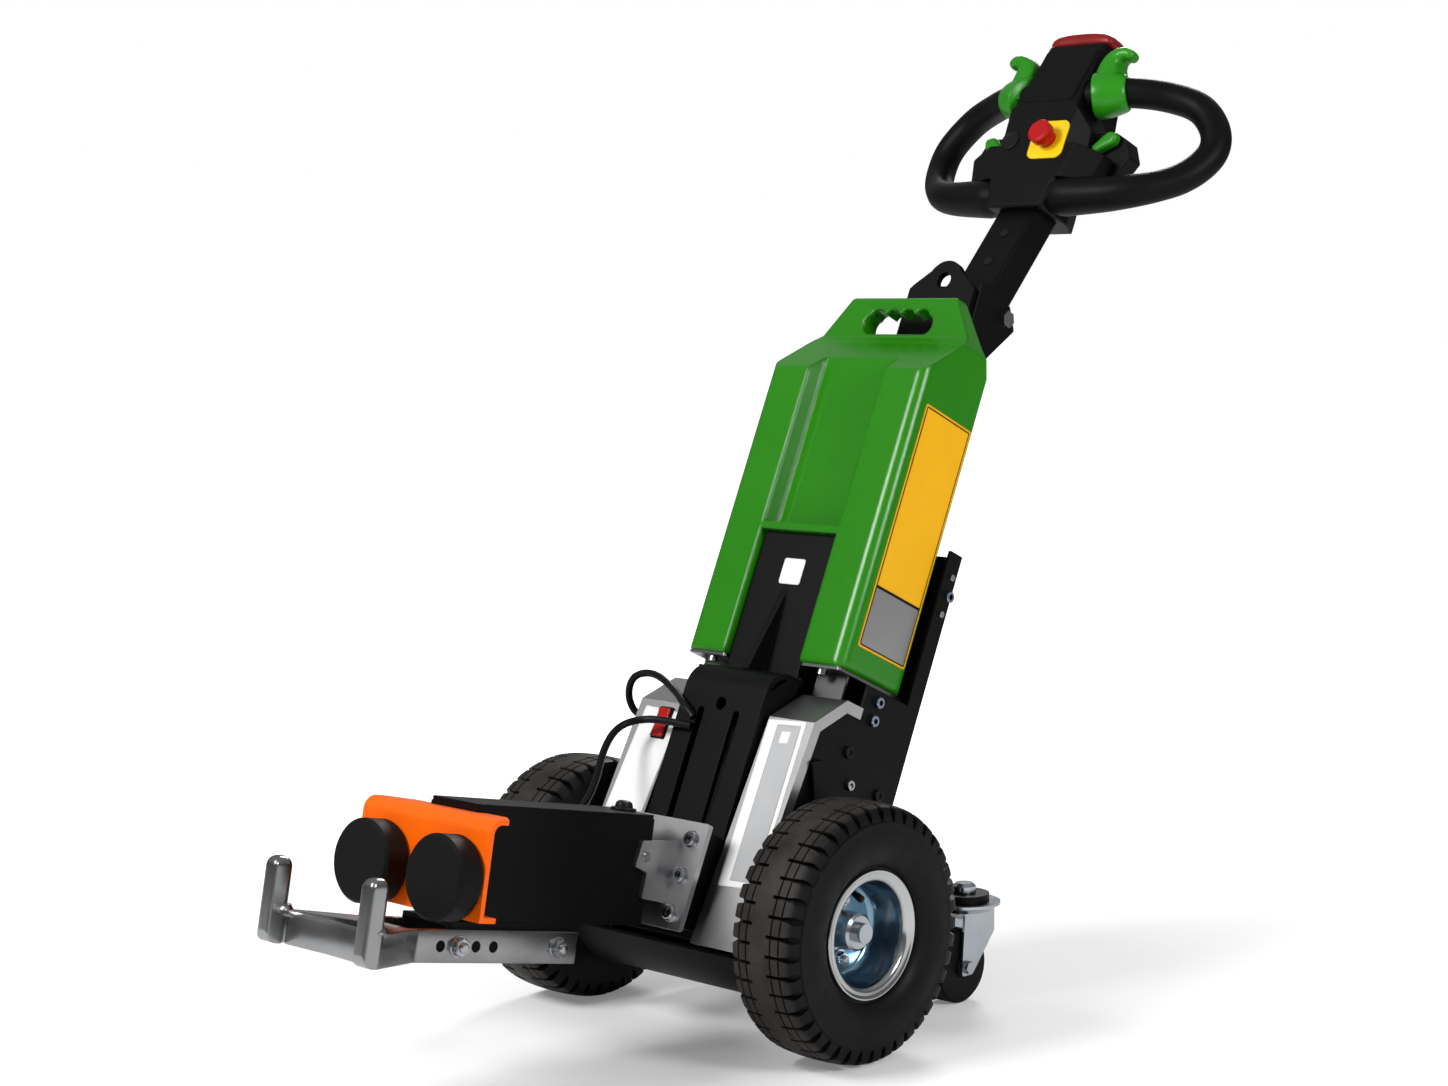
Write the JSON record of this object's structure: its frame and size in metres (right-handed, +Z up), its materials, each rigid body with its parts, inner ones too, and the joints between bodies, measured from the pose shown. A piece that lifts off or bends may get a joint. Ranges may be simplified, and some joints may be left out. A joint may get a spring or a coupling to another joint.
{
  "type": "pedestrian electric tow tractor",
  "caption": "Walk-behind electric tug: two drive wheels, rear casters, leaning battery body, steering tiller and a tilting hook arm with rubber buffers.",
  "frame": {"origin": "On the floor, midway across the machine and midway between its hook tips and the casters.", "axes": "+X to the right-hand wheel seen from behind the hook, +Y from the hook to the operator, +Z up."},
  "size_m": [0.465, 1.1782, 1.0645],
  "materials": {
    "tyre_rubber": "matt treaded rubber",
    "wheel_steel": "bluish zinc plate",
    "stainless": "brushed stainless sheet",
    "black_paint": "satin black powder coat",
    "orange_paint": "gloss orange powder coat",
    "galvanised": "galvanised steel",
    "green_shell": "gloss green moulded shell",
    "black_plastic": "matt black moulded plastic",
    "buffer_rubber": "smooth black rubber",
    "grip_foam": "soft black sleeve",
    "red_plastic": "gloss red plastic",
    "yellow_plastic": "gloss yellow plastic",
    "green_plastic": "gloss green plastic",
    "drive_metal": "dark grey paint",
    "cable_black": "black cable sheath"
  },
  "bodies": {
    "chassis": {"side_plate_left": "black_paint", "axle_carrier_left": "black_paint", "side_plate_right": "black_paint", "axle_carrier_right": "black_paint", "body_cover": "stainless", "front_column": "black_paint", "belly_pan": "black_paint", "drive_unit": "drive_metal", "power_switch": "red_plastic", "back_panel": "black_paint", "mast": "black_paint", "lifting_eye": "black_paint", "battery_tray": "stainless", "battery_case": "green_shell", "tiller_pin": "wheel_steel", "hitch_block": "black_paint", "hitch_mount": "stainless", "hinge_pin": "galvanised", "caster_beam": "black_paint", "cable_gland": "black_plastic", "switch_cable": "cable_black", "arm_cable": "cable_black"},
    "wheel_left": {"tyre_left": "tyre_rubber", "rim_left": "wheel_steel", "wheel_hub_left": "wheel_steel"},
    "wheel_right": {"tyre_right": "tyre_rubber", "rim_right": "wheel_steel", "wheel_hub_right": "wheel_steel"},
    "caster_left": {"caster_fork_left": "wheel_steel", "caster_axle_left": "wheel_steel"},
    "caster_right": {"caster_fork_right": "wheel_steel", "caster_axle_right": "wheel_steel"},
    "caster_wheel_left": {"caster_wheel_left": "buffer_rubber"},
    "caster_wheel_right": {"caster_wheel_right": "buffer_rubber"},
    "tiller": {"handle_loop_left": "grip_foam", "handle_loop_right": "grip_foam", "tiller_tube": "black_paint", "head_housing": "black_plastic", "emergency_plate": "yellow_plastic", "emergency_button": "red_plastic", "belly_button": "red_plastic", "throttle_paddles": "green_plastic", "horn_buttons": "green_plastic"},
    "hitch": {"hitch_arm": "black_paint", "hitch_lid": "black_paint", "hook_carrier": "black_paint", "buffer_plate": "orange_paint", "buffer_bracket": "black_paint", "buffers": "buffer_rubber", "hook_fork": "galvanised", "hook_bolts": "galvanised"}
  },
  "joints": [
    {"name": "wheel_spin_left", "type": "hinge", "parent": "chassis", "child": "wheel_left", "pos_m": [0.19, -0.07363, 0.13], "axis": [1, 0, 0], "continuous": true},
    {"name": "caster_swivel_left", "type": "hinge", "parent": "chassis", "child": "caster_left", "pos_m": [0.125, 0.19237, 0.107], "axis": [0, 0, 1], "continuous": true},
    {"name": "caster_spin_left", "type": "hinge", "parent": "caster_left", "child": "caster_wheel_left", "pos_m": [0.125, 0.17237, 0.04], "axis": [1, 0, 0], "continuous": true},
    {"name": "wheel_spin_right", "type": "hinge", "parent": "chassis", "child": "wheel_right", "pos_m": [-0.19, -0.07363, 0.13], "axis": [1, 0, 0], "continuous": true},
    {"name": "caster_swivel_right", "type": "hinge", "parent": "chassis", "child": "caster_right", "pos_m": [-0.125, 0.19237, 0.107], "axis": [0, 0, 1], "continuous": true},
    {"name": "caster_spin_right", "type": "hinge", "parent": "caster_right", "child": "caster_wheel_right", "pos_m": [-0.125, 0.17237, 0.04], "axis": [1, 0, 0], "continuous": true},
    {"name": "tiller_tilt", "type": "hinge", "parent": "chassis", "child": "tiller", "pos_m": [0, 0.3492, 0.72934], "axis": [1, 0, 0], "range_deg": [-20, 18.5]},
    {"name": "hitch_tilt", "type": "hinge", "parent": "chassis", "child": "hitch", "pos_m": [0, -0.20395, 0.20116], "axis": [1, 0, 0], "range_deg": [-5, 8]}
  ]
}
